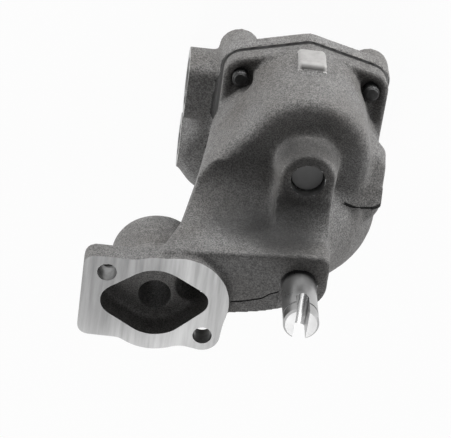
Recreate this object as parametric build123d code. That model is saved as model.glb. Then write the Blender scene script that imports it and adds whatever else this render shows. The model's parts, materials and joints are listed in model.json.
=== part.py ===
from build123d import *
import math
import os

# Vertical gear oil pump of a V8 engine. Lengths in millimetres, +Z up along the drive shaft.
# Origin: drive shaft axis at the plane of the machined mounting face (Z = 0).
# The idler gear lies toward +Y, the mounting foot and the pick-up inlet toward -X.

# ---- gear pair ------------------------------------------------------------------------------
diametral_pitch = 6.0              # teeth per inch of pitch diameter
teeth = 7
pressure_angle = 22.0              # degrees
addendum = 1.0                     # tooth above the pitch circle, in modules
tip_root_gap = 0.35                # tooth tip to the other gear's root
backlash = 0.25                    # taken off each tooth's thickness at the pitch circle
tooth_edge_chamfer = 0.5
gear_width = 38.1
gear_end_gap = 0.06                # to the pocket's ceiling, and to the cover
gear_tip_gap = 0.08                # to the pocket's wall

# ---- shafts ---------------------------------------------------------------------------------
shaft_r = 6.35
shaft_run_gap = 0.03               # radial clearance of a turning shaft or gear
shaft_tip_z = 22.4
journal_step = 0.35                # the drive shaft is this much larger below its bare end
shaft_step_gap = 0.4               # where the end starts, above the drive boss
shaft_chamfer = 0.7
slot_width = 4.6
slot_depth = 10.5
slot_ring_z = 17.3                 # shallow turned ring below the tip
slot_ring_width = 0.9
slot_ring_depth = 0.3
idler_shaft_recess = 4.0           # shaft end below the rim of its boss

# ---- levels ---------------------------------------------------------------------------------
face_z = 0.0
parting_z = -90.5                  # joint between body and cover
arm_drop = 2.4                     # arm below the mounting face
case_roof = 11.28                  # metal over the gear pockets
idler_boss_height = 14.4           # above the case top
flange_thickness = 6.5
joint_chamfer = 0.6                # broken edges on both sides of the parting plane

# ---- walls and outline of the body ----------------------------------------------------------
case_wall = 5.1                    # outside each gear pocket
case_draft = 0.7                   # growth of the case radius from its top to the parting plane
case_top_fillet = 4.5
flange_half_width = 33.1
flange_corner_r = 9.0
flange_corner_y = 11.3             # corner centre beyond each gear axis, along Y
flange_apex_y = 26.5               # apex of the roofed edge beyond each gear axis
flange_apex_r = 7.0
bolt_x = 25.5
bolt_y = 11.0                      # bolt axis beyond each gear axis, along Y
drive_boss_r = 10.4
tower_corner_r = 3.5
ledge_y = 12.4                     # +Y wall of the arm, at the drive tower
ledge_far_y = 8.8                  # and at the foot
arm_edge_fillet = 1.4
arm_root_r = 17.0                  # concave blend between the arm and the case top
idler_boss_r = 10.2
idler_boss_foot_r = 12.4
tongue_half_width = 10.4
tongue_drop = 0.7                  # tongue below the boss's rim
tongue_root_r = 9.0
shoulder_r = 12.3                  # round wall beside the suction port
web_r = 10.2                       # round wall beside the discharge port
web_knuckle = (-28.5, 17.0, 10.2)  # its round corner at the case top: x, y, radius
port_half_y = 10.5
port_x = 27.5                      # outer wall of each port pocket
port_height = 30.0
pad_width = 10.8
pad_length = 13.6
pad_height = 2.2

# ---- foot -----------------------------------------------------------------------------------
foot_bolt_x = -50.5
foot_bolt_y = -15.2
foot_bolt_hole_r = 6.0
foot_plate = 9.0
foot_tower_r = 17.0
foot_tower_draft = 0.2
foot_seat_z = -38.0
dowel_r = 3.5
dowel_left = (-68.8, -1.2)
dowel_right = (-31.9, -24.0)
cavity_floor_z = -10.5
cavity_wall = 4.0

# ---- cover ----------------------------------------------------------------------------------
cover_plate = 7.0
cover_inset = 0.3                  # cover edge inside the body's edge
cover_step = 0.8                   # inlet and relief bosses below the parting plane
cover_boss = 7.0                   # bolt bosses below the plate, at +X
tall_boss = 11.3                   # at -X, so the heads clear the inlet and relief bores
cover_boss_r = 8.0
cover_face_x = -44.7               # machined face of the inlet and of the relief bore
inlet_y = 26.6
inlet_drop = 11.5                  # inlet axis below the parting plane
inlet_r = 9.525                    # 3/4 in pick-up tube
inlet_boss_r = 13.8
inlet_corner_r = 3.0
inlet_depth = 24.0
inlet_passage_r = 10.0
inlet_end_x = 12.0                 # centre of the passage's rounded end
suction_window = (6.0, 21.0)       # from the passage up to the gears, along X
relief_drop = 12.0                 # relief valve axis below the parting plane
relief_bore_r = 6.35
relief_boss_r = 10.6
relief_seat_x = 9.0
relief_chamber = 7.0               # pressure chamber beyond the seat
relief_step = 1.4                  # seat width

# ---- relief valve ---------------------------------------------------------------------------
piston_gap = 0.04
piston_length = 18.0
piston_wall = 1.6
piston_head = 3.0
seat_gap = 0.1
spring_wire_r = 0.75
spring_turns = 8
retainer_x = -39.5
retainer_r = 1.6
retainer_wall = 0.55
retainer_grip = 4.2                # pin's seat in each wall of the relief boss

# ---- fasteners ------------------------------------------------------------------------------
bolt_r = 3.15
bolt_thread_gap = 0.04
bolt_clear_r = 3.5
bolt_stand = 4.0                   # tip above the body's ear
spot_r = 5.0                       # spot face around each tip
spot_depth = 1.4
bolt_head_across = 10.0
bolt_head_height = 4.8
bolt_washer_r = 6.0
bolt_washer_height = 1.4
head_pocket_gap = 0.5              # around the washer, where a head sinks into a barrel

# ---- sizes worked out -----------------------------------------------------------------------
module = 25.4 / diametral_pitch
gear_centres = module * teeth
pitch_r = gear_centres / 2
gear_tip_r = pitch_r + addendum * module
gear_root_r = gear_centres - gear_tip_r - tip_root_gap
pocket_r = gear_tip_r + gear_tip_gap
case_r = pocket_r + case_wall
ceiling_z = parting_z + gear_width + 2 * gear_end_gap
gear_floor_z = parting_z + gear_end_gap
arm_top_z = face_z - arm_drop
case_top_z = ceiling_z + case_roof
idler_boss_z = case_top_z + idler_boss_height
ear_top_z = parting_z + flange_thickness
bolt_tip_z = ear_top_z + bolt_stand
inlet_z = parting_z - inlet_drop
relief_z = parting_z - relief_drop
journal_r = shaft_r + journal_step
mid_y = gear_centres / 2
axes_y = (0.0, gear_centres)
cover_floor_z = parting_z - cover_plate
bolt_sides = ((-bolt_x, cover_floor_z - tall_boss), (bolt_x, cover_floor_z - cover_boss))
bolt_seats = [(x, y, z) for x, z in bolt_sides for y in (-bolt_y, gear_centres + bolt_y)]


def block(x0, x1, y0, y1, z0, z1):
    """Box between two corners."""
    centre = ((x0 + x1) / 2, (y0 + y1) / 2, (z0 + z1) / 2)
    return Pos(*centre) * Box(x1 - x0, y1 - y0, z1 - z0)


def post(x, y, r, z0, z1):
    """Upright cylinder between two levels."""
    return Pos(x, y, (z0 + z1) / 2) * Cylinder(r, z1 - z0)


def along_x(x0, x1, r, y=0.0, z=relief_z):
    """Cylinder lying along X between two stations."""
    return Pos((x0 + x1) / 2, y, z) * Rot(0, 90, 0) * Cylinder(r, x1 - x0)


def raised(profile, z0, z1):
    """Flat profile drawn at Z = 0, extruded between two levels."""
    return Pos(0, 0, z0) * extrude(profile, amount=z1 - z0)


def hull_of(circles):
    """Face inside the taut string around circles given as (x, y, r)."""
    rims = Curve() + [Pos(x, y) * CenterArc((0, 0), r, 0, 360) for x, y, r in circles]
    return make_hull(rims.edges())


def flange_outline(inset=0.0):
    """Outline shared by body and cover: four round corners and two shallow roofs."""
    corner_x = flange_half_width - flange_corner_r
    circles = []
    for x in (-corner_x, corner_x):
        circles.append((x, -flange_corner_y, flange_corner_r - inset))
        circles.append((x, gear_centres + flange_corner_y, flange_corner_r - inset))
    apex = flange_apex_y - flange_apex_r
    circles.append((0, -apex, flange_apex_r - inset))
    circles.append((0, gear_centres + apex, flange_apex_r - inset))
    return hull_of(circles)


# ---- gears ----------------------------------------------------------------------------------
def involute(angle):
    """Involute function of an angle in radians."""
    return math.tan(angle) - angle


def tooth_flank(base_r, steps=6):
    """Points (radius, half angle in radians) from the base circle to the tip."""
    alpha = math.radians(pressure_angle)
    half = (math.pi * module / 2 - backlash) / (2 * pitch_r)
    points = []
    for i in range(steps + 1):
        r = base_r + (gear_tip_r - base_r) * i / steps
        at_r = math.acos(min(1.0, base_r / r))
        points.append((r, half + involute(alpha) - involute(at_r)))
    return points


def gear_outline():
    """Closed spur-gear profile, one tooth pointing along +Y."""
    base_r = pitch_r * math.cos(math.radians(pressure_angle))
    flank = tooth_flank(base_r)
    half_base = flank[0][1]
    step = 2 * math.pi / teeth
    lines = []

    def at(r, angle):
        return (r * math.cos(angle), r * math.sin(angle))

    for i in range(teeth):
        mid = math.pi / 2 + i * step
        rising = [at(r, mid - a) for r, a in flank]
        falling = [at(r, mid + a) for r, a in reversed(flank)]
        next_mid = mid + step
        root_start = at(gear_root_r, mid + half_base)
        root_mid = at(gear_root_r, mid + step / 2)
        root_end = at(gear_root_r, next_mid - half_base)
        lines.append(Spline(*rising))
        lines.append(ThreePointArc(rising[-1], at(gear_tip_r, mid), falling[0]))
        lines.append(Spline(*falling))
        lines.append(Line(falling[-1], root_start))
        lines.append(ThreePointArc(root_start, root_mid, root_end))
        lines.append(Line(root_end, at(base_r, next_mid - half_base)))
    return make_face(Curve() + lines)


def gear(y, bore_r):
    """Spur gear with a chamfered bore, standing in its pocket."""
    solid = extrude(gear_outline(), amount=gear_width)
    blank = Cylinder(gear_tip_r, gear_width)
    blank = chamfer(blank.edges().filter_by(GeomType.CIRCLE), length=tooth_edge_chamfer)
    solid = solid & Pos(0, 0, gear_width / 2) * blank
    solid -= Pos(0, 0, gear_width / 2) * Cylinder(bore_r, gear_width + 2)
    return Pos(0, y, gear_floor_z) * solid


def drive_gear():
    return gear(0, journal_r)


def idler_gear():
    return gear(gear_centres, shaft_r + shaft_run_gap)


# ---- shafts ---------------------------------------------------------------------------------
def drive_shaft():
    """Ground shaft with a cross slot in its upper end and a shallow turned ring."""
    step_z = arm_top_z + shaft_step_gap
    journal = post(0, 0, journal_r, gear_floor_z, step_z)
    end = post(0, 0, shaft_r, step_z, shaft_tip_z)
    journal = chamfer(journal.edges().group_by(Axis.Z)[0], length=shaft_chamfer)
    shaft = journal + chamfer(end.edges().group_by(Axis.Z)[-1], length=shaft_chamfer)
    ring = Cylinder(journal_r, slot_ring_width)
    ring -= Cylinder(shaft_r - slot_ring_depth, slot_ring_width)
    shaft -= Pos(0, 0, slot_ring_z) * ring
    root_z = shaft_tip_z - slot_depth + slot_width / 2
    across = 4 * shaft_r
    slot = block(-slot_width / 2, slot_width / 2, -across / 2, across / 2, root_z, shaft_tip_z + 1)
    slot += Pos(0, 0, root_z) * Rot(90, 0, 0) * Cylinder(slot_width / 2, across)
    return shaft - slot


def idler_shaft():
    """Plain fixed shaft, pressed into the body below the rim of its boss."""
    shaft = post(0, gear_centres, shaft_r, gear_floor_z, idler_boss_z - idler_shaft_recess)
    return chamfer(shaft.edges().filter_by(GeomType.CIRCLE), length=shaft_chamfer)


# ---- body -----------------------------------------------------------------------------------
def gear_case():
    """Drafted wall around both gears, rounded over at the top."""
    low = Pos(0, 0, parting_z) * hull_of([(0, y, case_r + case_draft) for y in axes_y])
    high = Pos(0, 0, case_top_z) * hull_of([(0, y, case_r) for y in axes_y])
    case = loft([low, high], ruled=True)
    return fillet(case.edges().group_by(Axis.Z)[-1], radius=case_top_fillet)


def drive_dome():
    """Domed shoulder that runs from the drive boss down to the flange."""
    foot_r = flange_half_width - joint_chamfer
    neck = (drive_boss_r + 0.4, arm_top_z - 15.6)
    brow = (20.0, case_top_z + 5.5)
    cheek = (27.5, case_top_z - 7.5)
    side = (foot_r - 0.6, case_top_z - 20)
    lines = [
        Line((0, arm_top_z), (drive_boss_r, arm_top_z)),
        Line((drive_boss_r, arm_top_z), neck),
        Spline(neck, brow, cheek, side, tangents=[(0.15, -1), (0.1, -1)]),
        Line(side, (foot_r, parting_z)),
        Line((foot_r, parting_z), (0, parting_z)),
        Line((0, parting_z), (0, arm_top_z)),
    ]
    profile = make_face(Plane.XZ * (Curve() + lines))
    dome = revolve(profile, Axis.Z, 360)
    return dome & raised(flange_outline(joint_chamfer), parting_z, arm_top_z)


def suction_shoulder():
    """Rounded wall around the suction port, on the +X side."""
    bottom = ear_top_z - 4
    top = case_top_z - 4.5
    side_x = flange_half_width - shoulder_r
    low_rims = [(0, gear_centres, case_r - 0.7), (side_x, mid_y, shoulder_r), (0, 0, 20)]
    high_rims = [(0, gear_centres, case_r - 1.7), (side_x - 1.2, mid_y - 4, shoulder_r), (0, 0, 19)]
    low = Pos(0, 0, bottom) * hull_of(low_rims)
    high = Pos(0, 0, top) * hull_of(high_rims)
    shoulder = loft([low, high], ruled=True)
    return fillet(shoulder.edges().group_by(Axis.Z)[-1], radius=6)


def discharge_web():
    """Leaning wall around the discharge passage, spreading from the flange to the foot."""
    side_x = flange_half_width - web_r
    low_rims = [(0, gear_centres, case_r), (-side_x, 21, web_r), (-side_x, -8, web_r), (0, 6, 20)]
    high_rims = [(0, gear_centres, case_r - 0.6), web_knuckle, (-36, -12, 9), (0, 6, 20)]
    low = Pos(0, 0, ear_top_z - 4) * hull_of(low_rims)
    high = Pos(0, 0, case_top_z) * hull_of(high_rims)
    web = loft([low, high], ruled=True)
    return fillet(web.edges().group_by(Axis.Z)[-1], radius=case_top_fillet)


def idler_boss():
    """Tapered boss around the fixed shaft, blended onto the case top."""
    height = idler_boss_z - (case_top_z - 1)
    boss = Cone(idler_boss_foot_r, idler_boss_r, height)
    boss = fillet(boss.edges().group_by(Axis.Z)[-1], radius=1.2)
    return Pos(0, gear_centres, idler_boss_z - height / 2) * boss


def tongue():
    """Flat rib joining the idler boss to the drive tower."""
    top = idler_boss_z - tongue_drop
    rib = block(-tongue_half_width, tongue_half_width, 0, gear_centres, case_top_z - 8, top)
    return fillet(rib.edges().filter_by(Axis.Y).group_by(Axis.Z)[-1], radius=1.6)


def arm_outline():
    """Plan of the arm: the foot end, a straight ledge and the round drive tower."""
    corner_x = tongue_half_width - tower_corner_r
    tower = hull_of([
        (0, 0, drive_boss_r),
        (corner_x, ledge_y - tower_corner_r, tower_corner_r),
        (-6, 0, 9.5),
    ])
    far = (foot_bolt_x, ledge_far_y)
    beam = Polyline((foot_bolt_x, -12.5), (-14, -9.2), (0, -9.2), (0, 0), (corner_x, ledge_y),
                    (0, ledge_y), far, close=True)
    return tower + make_face(beam)


def arm():
    """Upright beam from the foot to the drive tower, around the shaft bearing."""
    beam = raised(arm_outline(), case_top_z - 10, arm_top_z)
    return fillet(beam.edges().group_by(Axis.Z)[-1], radius=arm_edge_fillet)


def root_section(x, wall_y, floor_z, radius):
    """Section of a blend at a station: a wall, a concave quarter and a floor."""
    floor_y = wall_y + radius
    crown_z = floor_z + radius
    bend = radius * (1 - math.sqrt(0.5))
    bottom = floor_z - 10
    lines = [
        Line((0, bottom), (0, crown_z)),
        Line((0, crown_z), (wall_y, crown_z)),
        ThreePointArc((wall_y, crown_z), (wall_y + bend, floor_z + bend), (floor_y, floor_z)),
        Line((floor_y, floor_z), (floor_y, bottom)),
        Line((floor_y, bottom), (0, bottom)),
    ]
    return Pos(x, 0, 0) * make_face(Plane.YZ * (Curve() + lines))


def arm_root():
    """Wide concave blend from the arm's wall down to the case top, ending at the leaning wall."""
    far = root_section(foot_bolt_x, ledge_far_y, case_top_z, arm_root_r)
    near = root_section(0, ledge_y, case_top_z, arm_root_r)
    plan = hull_of([web_knuckle, (-39.5, 2.2, 9.5), (0, 0, 20), (0, gear_centres, 20)])
    return loft([far, near], ruled=True) & raised(plan, case_top_z - 10, arm_top_z)


def tongue_root():
    """Concave blend from the drive tower's wall down to the tongue."""
    floor_z = idler_boss_z - tongue_drop
    ends = (-tongue_half_width, tongue_half_width)
    return loft([root_section(x, ledge_y, floor_z, tongue_root_r) for x in ends], ruled=True)


def leaning_end():
    """Space right of the leaning end wall that runs from the flange up to the foot."""
    below = case_top_z - 34
    outline = [
        (-34.5, below),
        (-38.4, case_top_z - 1),
        (-42.0, case_top_z + 10),
        (-44.8, case_top_z + 20),
        (-48.6, arm_top_z - 7.6),
        (-50.0, arm_top_z + 1),
        (20, arm_top_z + 1),
        (20, below),
    ]
    profile = make_face(Plane.XZ * Polyline(*outline, close=True))
    return extrude(profile, amount=60, both=True)


def discharge_passage():
    """Oil passage from the discharge port up to the cavity in the foot."""
    low_z = parting_z + port_height - 3
    rise = cavity_floor_z + 1 - low_z
    stations = [
        # x, y and share of the rise of the centre, half widths along X and Y
        (-19.5, 14.0, 0.0, 7.0, 9.0),
        (-24.5, 7.0, 0.21, 7.5, 9.0),
        (-30.0, -1.0, 0.435, 7.0, 8.0),
        (-35.5, -7.0, 0.74, 6.2, 7.5),
        (-37.3, -9.5, 1.0, 6.0, 7.0),
    ]
    return loft([Pos(x, y, low_z + share * rise) * Ellipse(a, b) for x, y, share, a, b in stations])


def foot_outline():
    """Mounting face: two overlapping rounds, a square end and an ear for the dowel."""
    end = Pos(-66.4, -11.6) * RectangleRounded(22.0, 33.6, 4.0)
    rounds = Pos(-50.6, -12.5) * Circle(19.5) + Pos(-42.6, -11.0) * Circle(18.7)
    ear = Pos(*dowel_right) * Circle(6.4)
    bridge = hull_of([(dowel_right[0], dowel_right[1], 6.3), (-40.0, -20.0, 9.0), (-34.0, -12.0, 9.5)])
    return end + rounds + ear + bridge


def foot_opening(wall=0.0):
    """Lens-shaped mouth of the discharge cavity, or the wall around it."""
    return hull_of([(-50.6, -12.0, 13.7 + wall), (-63.9, -12.6, 6.4 + wall), (-36.4, -10.0, 5.2 + wall)])


def foot():
    """Mounting flange, the pan under its cavity and the tower that carries the mounting bolt."""
    plate = raised(foot_outline(), face_z - foot_plate, face_z)
    pan = raised(foot_opening(cavity_wall), cavity_floor_z - cavity_wall, face_z - foot_plate / 2)
    pan = fillet(pan.edges().group_by(Axis.Z)[0], radius=cavity_wall * 0.7)
    tower = Cone(foot_tower_r, foot_tower_r + foot_tower_draft, -foot_seat_z)
    tower = fillet(tower.edges().group_by(Axis.Z)[0], radius=3.0)
    tower = Pos(foot_bolt_x, foot_bolt_y + 1.5, foot_seat_z / 2) * tower
    tower = tower & block(-90, 0, -60, 30, foot_seat_z, face_z - 1.5)
    return plate + pan + tower


def body_flange():
    """Flange that takes the cover, with a rounded upper rim."""
    flange = raised(flange_outline(), parting_z, ear_top_z)
    flange = fillet(flange.edges().group_by(Axis.Z)[-1], radius=2.2)
    return chamfer(flange.edges().group_by(Axis.Z)[0], length=joint_chamfer)


def cast_pad():
    """Small raised pad on the +Y wall, left plain."""
    wall_y = gear_centres + case_r
    low_z = ear_top_z + 1.5
    pad = block(-pad_width / 2, pad_width / 2, wall_y - 9, wall_y + pad_height, low_z, low_z + pad_length)
    corners = pad.edges().filter_by(Axis.Y)
    return fillet(corners, radius=2.0)


def pump_body():
    body = gear_case() + drive_dome() + suction_shoulder() + discharge_web()
    body += (arm() + arm_root()) & leaning_end()
    body += foot() + tongue() + tongue_root() + idler_boss() + body_flange() + cast_pad()
    body = body & block(-100, flange_half_width + 5, -60, 80, parting_z, face_z)

    # gear pockets and ports
    for y in axes_y:
        body -= post(0, y, pocket_r, parting_z - 1, ceiling_z)
    port = block(-port_x, port_x, mid_y - port_half_y, mid_y + port_half_y, parting_z - 1,
                 parting_z + port_height)
    body -= fillet(port.edges().filter_by(Axis.Z), radius=3)

    # discharge passage, foot cavity and mounting holes
    body -= discharge_passage()
    body -= raised(foot_opening(), cavity_floor_z, face_z + 1)
    body -= post(foot_bolt_x, foot_bolt_y, foot_bolt_hole_r, foot_seat_z - 1, cavity_floor_z + 1)
    for x, y in (dowel_left, dowel_right):
        body -= post(x, y, dowel_r, face_z - foot_plate - 1, face_z + 1)

    # shaft bores
    body -= post(0, 0, journal_r + shaft_run_gap, ceiling_z - 1, 1)
    body -= post(0, gear_centres, shaft_r, ceiling_z - 1, 1)

    # tapped holes for the cover bolts
    for x, y, seat_z in bolt_seats:
        body -= post(x, y, bolt_r + bolt_thread_gap, parting_z - 1, bolt_tip_z + 1)
    for x in (-bolt_x, bolt_x):
        body -= post(x, gear_centres + bolt_y, spot_r, ear_top_z - spot_depth, ear_top_z + 8)
    return body


# ---- cover ----------------------------------------------------------------------------------
def inlet_barrel():
    """Boss around the pick-up inlet, squared off under the flange, with a round far end."""
    corner_z = parting_z - 1 - inlet_corner_r
    section = hull_of([
        (inlet_y, inlet_z, inlet_boss_r),
        (inlet_y - 9.0, corner_z, inlet_corner_r),
        (inlet_y + 8.5, corner_z, inlet_corner_r),
    ])
    boss = extrude(Plane.YZ * section, amount=inlet_end_x - cover_face_x, dir=(1, 0, 0))
    boss = Pos(cover_face_x, 0, 0) * boss
    return boss + Pos(inlet_end_x, inlet_y, inlet_z) * Sphere(inlet_boss_r)


def relief_barrel():
    """Boss around the relief valve bore, swelling behind its machined face."""
    swell_z = relief_drop + 0.9        # half height where the bolt boss merges with it
    stations = [
        # x, half widths along Y and Z
        (cover_face_x, relief_boss_r, relief_boss_r - 0.1),
        (cover_face_x + 2.0, relief_boss_r + 2.0, relief_boss_r + 0.9),
        (cover_face_x + 8.0, relief_boss_r + 8.4, swell_z),
        (-25.0, relief_boss_r + 8.6, swell_z),
        (-6.0, relief_boss_r + 4.4, swell_z - 0.6),
        (relief_seat_x + 9.0, relief_boss_r + 0.9, relief_boss_r + 0.8),
    ]
    sections = []
    for x, half_w, half_h in stations:
        plane = Plane(origin=(x, 0, relief_z), x_dir=(0, 1, 0), z_dir=(1, 0, 0))
        sections.append(plane * Ellipse(half_w, half_h))
    return loft(sections)


def inlet_passage():
    """Pressed bore for the pick-up tube, and the passage from it up to the gears."""
    stop_x = cover_face_x + inlet_depth
    bore = along_x(cover_face_x - 1, stop_x, inlet_r, inlet_y, inlet_z)
    run = along_x(stop_x, inlet_end_x, inlet_passage_r, inlet_y, inlet_z)
    end = Pos(inlet_end_x, inlet_y, inlet_z) * Sphere(inlet_passage_r)
    near_x, far_x = suction_window
    window = block(near_x, far_x, mid_y - port_half_y + 2, inlet_y + 6, inlet_z, parting_z + 1)
    return bore + run + end + fillet(window.edges().filter_by(Axis.Z), radius=inlet_corner_r)


def retainer_hole():
    """Cross hole for the retaining pin: open at -Y, blind in the wall toward the inlet."""
    far_y = relief_bore_r + retainer_grip
    open_y = -3 * relief_boss_r
    hole = Rot(90, 0, 0) * Cylinder(retainer_r, far_y - open_y)
    return Pos(retainer_x, (far_y + open_y) / 2, relief_z) * hole


def pump_cover():
    cover = raised(flange_outline(cover_inset), cover_floor_z, parting_z)
    cover = chamfer(cover.edges().group_by(Axis.Z)[-1], length=joint_chamfer)
    for x, y, seat_z in bolt_seats:
        cover += post(x, y, cover_boss_r, seat_z, parting_z - 1)
    cover += inlet_barrel() + relief_barrel()
    cover = cover & block(cover_face_x, 60, -60, 80, -130, parting_z)
    ends_y = (-60, 80)
    cover -= block(-60, -flange_half_width + 0.3, *ends_y, parting_z - cover_step, parting_z + 1)
    cover -= inlet_passage()
    for x, y, seat_z in bolt_seats:
        cover -= post(x, y, bolt_clear_r, seat_z - 1, parting_z + 1)
        cover -= post(x, y, bolt_washer_r + head_pocket_gap, seat_z - 40, seat_z)
    cover -= along_x(cover_face_x - 1, relief_seat_x, relief_bore_r)
    chamber_end = relief_seat_x + relief_chamber
    cover -= along_x(relief_seat_x - 1, chamber_end, relief_bore_r - relief_step)
    cover -= retainer_hole()
    return cover


# ---- relief valve ---------------------------------------------------------------------------
def relief_valve_piston():
    """Cup piston, closed toward the pressure chamber, with a shallow oil groove."""
    head_x = relief_seat_x - seat_gap
    piston_r = relief_bore_r - piston_gap
    piston = along_x(head_x - piston_length, head_x, piston_r)
    rims = piston.edges().filter_by(GeomType.CIRCLE)
    piston = chamfer(rims, length=0.5)
    piston -= along_x(head_x - piston_length - 1, head_x - piston_head, piston_r - piston_wall)
    groove_x = (head_x - 6.5, head_x - 5.5)
    return piston - (along_x(*groove_x, relief_bore_r) - along_x(*groove_x, piston_r - 0.4))


def relief_spring():
    """Compression spring between the piston and the retaining pin, ends ground flat."""
    x0 = retainer_x + retainer_r + seat_gap
    x1 = relief_seat_x - seat_gap - piston_head - seat_gap
    coil_r = relief_bore_r - piston_gap - piston_wall - spring_wire_r - 0.25
    pitch = (x1 - x0) / spring_turns
    height = (spring_turns + 1) * pitch
    path = Helix(pitch=pitch, height=height, radius=coil_r)
    wire = Plane(origin=path @ 0, z_dir=path % 0) * Circle(spring_wire_r)
    coil = sweep(wire, path=path, is_frenet=True)
    coil = Pos(x0 - pitch / 2, 0, relief_z) * Rot(0, 90, 0) * coil
    return coil & along_x(x0, x1, coil_r + 2 * spring_wire_r)


def relief_retaining_pin():
    """Slit spring pin across the mouth of the relief bore, driven in from the -Y side."""
    length = 2 * (relief_bore_r + retainer_grip) - 0.5
    pin = Cylinder(retainer_r, length)
    pin = chamfer(pin.edges().filter_by(GeomType.CIRCLE), length=0.3)
    pin -= Cylinder(retainer_r - retainer_wall, length + 1)
    pin -= Pos(-retainer_r, 0, 0) * Box(2 * retainer_r, 0.5, length + 1)
    return Pos(retainer_x, 0, relief_z) * Rot(90, 0, 0) * pin


# ---- fasteners ------------------------------------------------------------------------------
def cover_bolt(length):
    """Flanged hex bolt, head down, its seat at Z = 0."""
    hexagon = RegularPolygon(bolt_head_across / 2, 6, major_radius=False)
    head = extrude(hexagon, amount=-bolt_head_height)
    crown = Cone(bolt_head_across / 2 - 0.6, bolt_head_across / 2 + 1.8, bolt_head_height)
    head = head & Pos(0, 0, -bolt_head_height / 2) * crown
    washer = Pos(0, 0, -bolt_washer_height / 2) * Cylinder(bolt_washer_r, bolt_washer_height)
    washer = fillet(washer.edges().group_by(Axis.Z)[0], radius=0.6)
    shank = Pos(0, 0, length / 2) * Cylinder(bolt_r, length)
    shank = chamfer(shank.edges().group_by(Axis.Z)[-1], length=0.8)
    return head + washer + shank


def cover_bolts():
    """Four bolts whose tips stand out of the body's ears, the two at -X longer."""
    return Compound(children=[Pos(x, y, z) * cover_bolt(bolt_tip_z - z) for x, y, z in bolt_seats])


# ---- write ----------------------------------------------------------------------------------
def main():
    os.makedirs("parts", exist_ok=True)
    pieces = {
        "pump_body": pump_body(),
        "pump_cover": pump_cover(),
        "drive_shaft": drive_shaft(),
        "drive_gear": drive_gear(),
        "idler_gear": idler_gear(),
        "idler_shaft": idler_shaft(),
        "relief_valve_piston": relief_valve_piston(),
        "relief_spring": relief_spring(),
        "relief_retaining_pin": relief_retaining_pin(),
        "cover_bolts": cover_bolts(),
    }
    for name, piece in pieces.items():
        export_step(piece, f"parts/{name}.step")


main()
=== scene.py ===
import bpy
import bmesh
import json
import math
import numpy as np
from mathutils import Matrix, Vector, geometry


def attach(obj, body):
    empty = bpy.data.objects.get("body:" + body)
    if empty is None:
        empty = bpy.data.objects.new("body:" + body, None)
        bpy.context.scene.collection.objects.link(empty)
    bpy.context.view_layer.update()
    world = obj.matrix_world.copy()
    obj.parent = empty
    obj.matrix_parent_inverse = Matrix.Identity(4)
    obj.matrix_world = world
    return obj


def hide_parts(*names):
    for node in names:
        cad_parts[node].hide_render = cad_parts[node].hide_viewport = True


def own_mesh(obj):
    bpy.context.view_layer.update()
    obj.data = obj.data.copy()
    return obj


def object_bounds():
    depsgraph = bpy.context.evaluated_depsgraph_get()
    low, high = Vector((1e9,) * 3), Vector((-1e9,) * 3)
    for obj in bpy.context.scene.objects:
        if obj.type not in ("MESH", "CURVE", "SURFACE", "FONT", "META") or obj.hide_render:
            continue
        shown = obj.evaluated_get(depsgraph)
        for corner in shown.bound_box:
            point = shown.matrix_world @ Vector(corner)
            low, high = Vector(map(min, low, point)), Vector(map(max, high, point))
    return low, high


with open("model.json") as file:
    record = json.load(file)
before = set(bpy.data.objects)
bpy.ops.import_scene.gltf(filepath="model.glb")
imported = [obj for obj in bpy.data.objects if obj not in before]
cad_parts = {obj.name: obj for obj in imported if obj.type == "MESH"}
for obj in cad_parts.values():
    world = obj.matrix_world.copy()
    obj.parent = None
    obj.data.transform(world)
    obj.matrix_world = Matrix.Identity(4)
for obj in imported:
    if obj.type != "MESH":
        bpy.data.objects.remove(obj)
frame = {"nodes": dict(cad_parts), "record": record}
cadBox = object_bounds()
mm = 0.001                                          # sizes are written in millimetres
roundSides = 96                                     # flats round a smooth cylinder or corner
wideLow, wideHigh = (-95, -60), (60, 90)            # corners of the trimming blocks, past the whole pump
past = 20                                           # how far cutters reach beyond what they cut
levelSlack, wallSlack = 0.02, 0.05                  # how far off a level, or a wall, still counts as on it
flatShare = 0.9                                     # a face that looks this far along an axis is flat


def deselectAll():
    bpy.ops.object.select_all(action="DESELECT")


def pick(piece):
    deselectAll()
    piece.select_set(True)
    bpy.context.view_layer.objects.active = piece


def applyModifier(piece, kind, name, **settings):
    pick(piece)
    modifier = piece.modifiers.new(name, kind)
    for key, value in settings.items():
        setattr(modifier, key, value)
    bpy.ops.object.modifier_apply(modifier=name)


def settle(piece):                                  # place goes into the mesh, object to the origin
    pick(piece)
    bpy.ops.object.transform_apply(location=True, rotation=True, scale=True)


def placed(name, data):                             # new object in the scene
    thing = bpy.data.objects.new(name, data)
    bpy.context.scene.collection.objects.link(thing)
    return thing


def editAll(piece):                                 # opens edit mode with everything selected
    pick(piece)
    bpy.ops.object.mode_set(mode="EDIT")
    bpy.ops.mesh.select_all(action="SELECT")


def editSome(piece, kind, wanted):                  # opens edit mode with the wanted faces or edges selected
    pick(piece)
    bpy.ops.object.mode_set(mode="EDIT")
    bpy.ops.mesh.select_mode(type=kind)
    bpy.ops.mesh.select_all(action="DESELECT")
    work = bmesh.from_edit_mesh(piece.data)
    parts = work.faces if kind == "FACE" else work.edges
    for part in parts:
        if wanted(part):
            part.select_set(True)
    bmesh.update_edit_mesh(piece.data)


def closeEdit():                                    # leaves edit mode with every face turned outwards
    bpy.ops.mesh.select_all(action="SELECT")
    bpy.ops.mesh.normals_make_consistent(inside=False)
    bpy.ops.object.mode_set(mode="OBJECT")


def copyOfNode(nodeName, pieceName):                # merged copy of a CAD piece, without its materials
    piece = placed(pieceName, frame["nodes"][nodeName].data.copy())
    editAll(piece)
    bpy.ops.mesh.remove_doubles(threshold=0.002 * mm)
    bpy.ops.object.mode_set(mode="OBJECT")
    piece.data.materials.clear()
    return piece


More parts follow.
